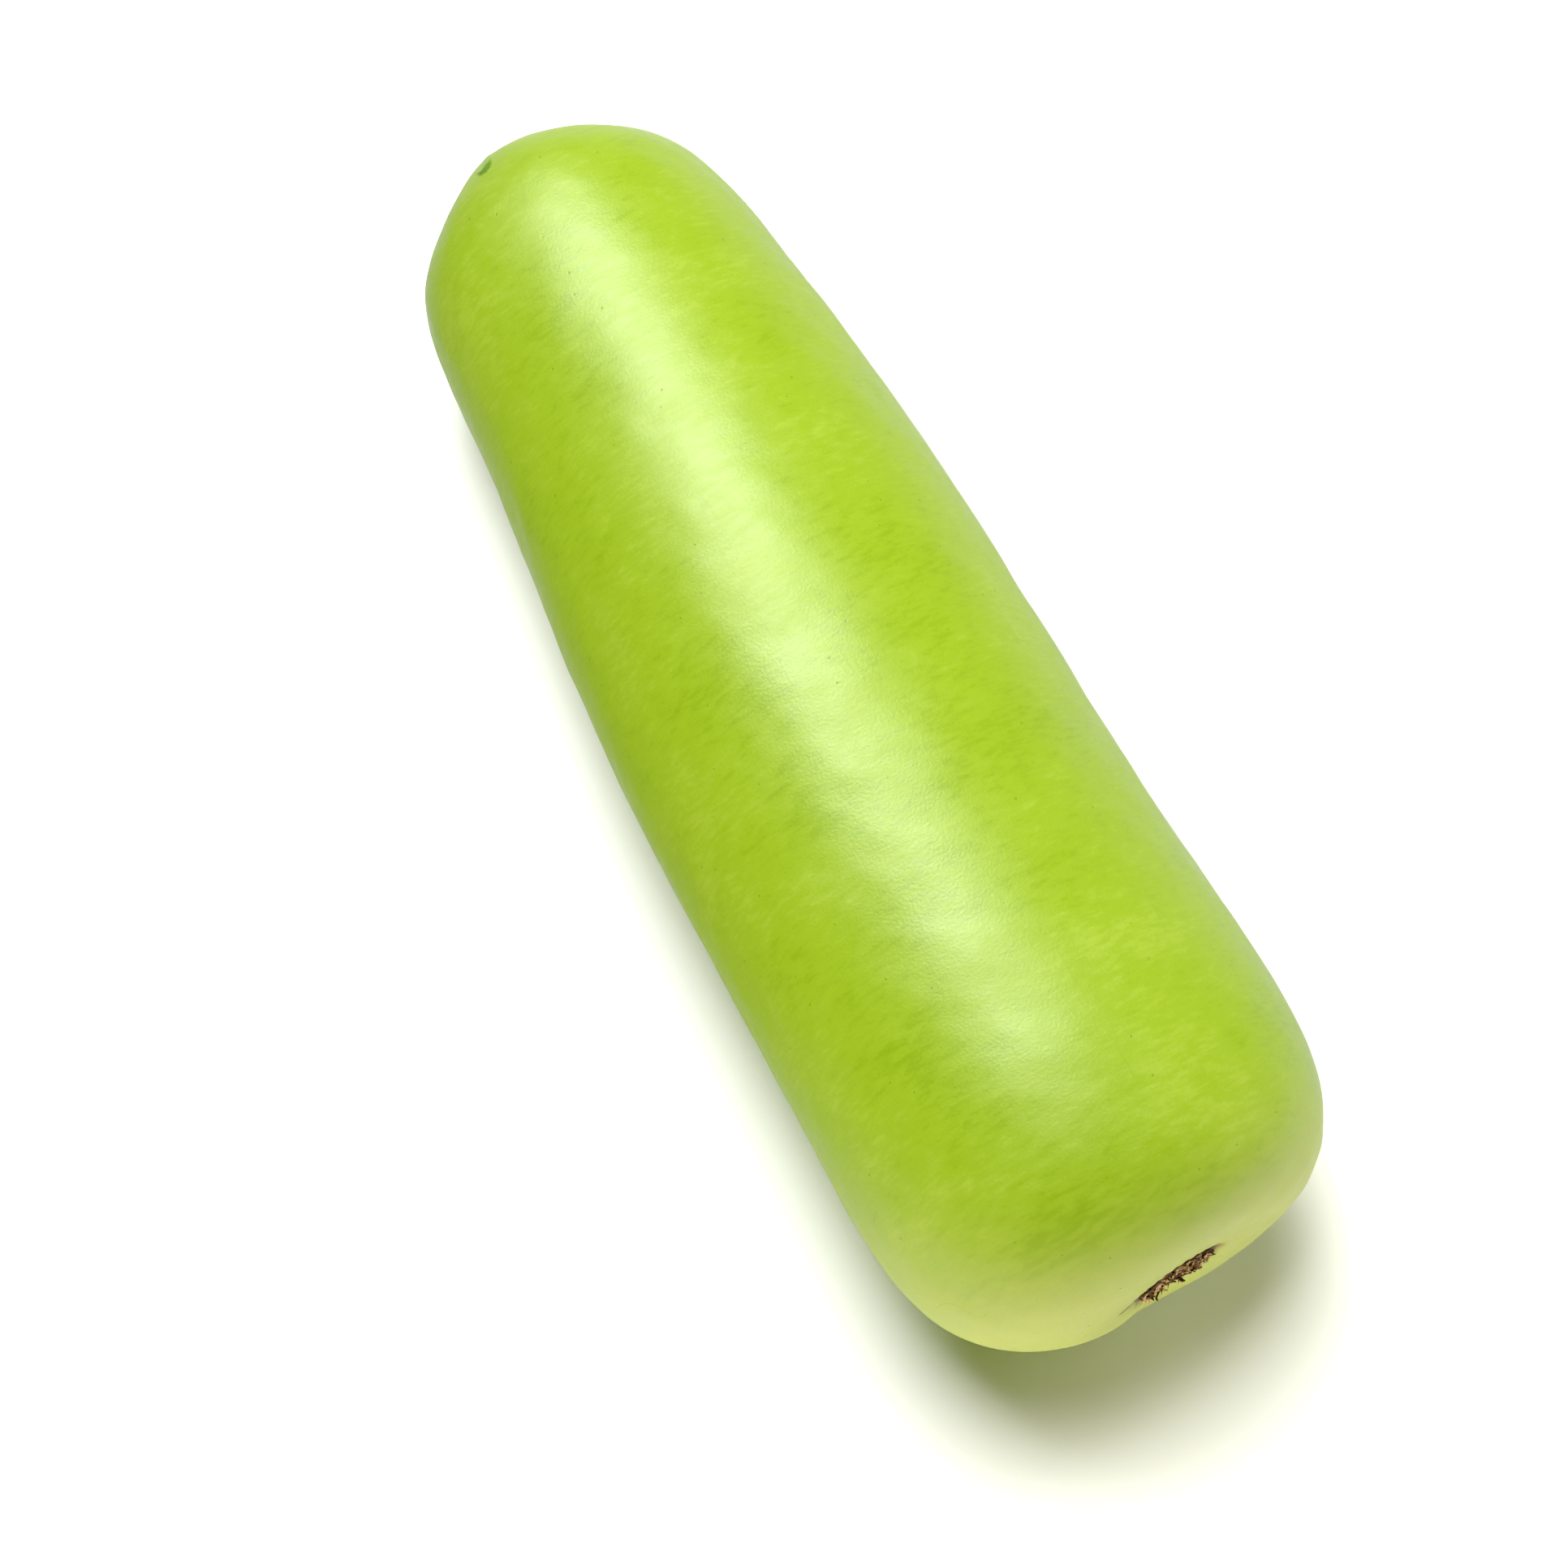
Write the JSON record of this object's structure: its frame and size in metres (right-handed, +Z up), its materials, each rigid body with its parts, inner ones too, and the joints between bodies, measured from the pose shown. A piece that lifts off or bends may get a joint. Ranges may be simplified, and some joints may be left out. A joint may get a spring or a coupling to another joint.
{
  "type": "bottle gourd",
  "caption": "Cylindrical bottle gourd, pale green, lying on its side, with a short cut stem in its shoulder and a corky blossom scar.",
  "frame": {"origin": "on the floor, under the middle of the gourd's box", "axes": "+X along the gourd to its blossom end, +Z up from the floor that it lies on"},
  "size_m": [0.2888, 0.1024, 0.102],
  "materials": {
    "green_skin": "smooth waxy vegetable skin with a soft sheen, fine pale streaks and darker green flecks",
    "stem": "ridged green stem with fine pale hairs and a tan, pitted cut face",
    "scar_cork": "dry dark-brown cork, rough and flaking"
  },
  "bodies": {
    "root": {"gourd_fruit": "green_skin", "stem_stub": "stem", "blossom_scar": "scar_cork"}
  },
  "joints": []
}
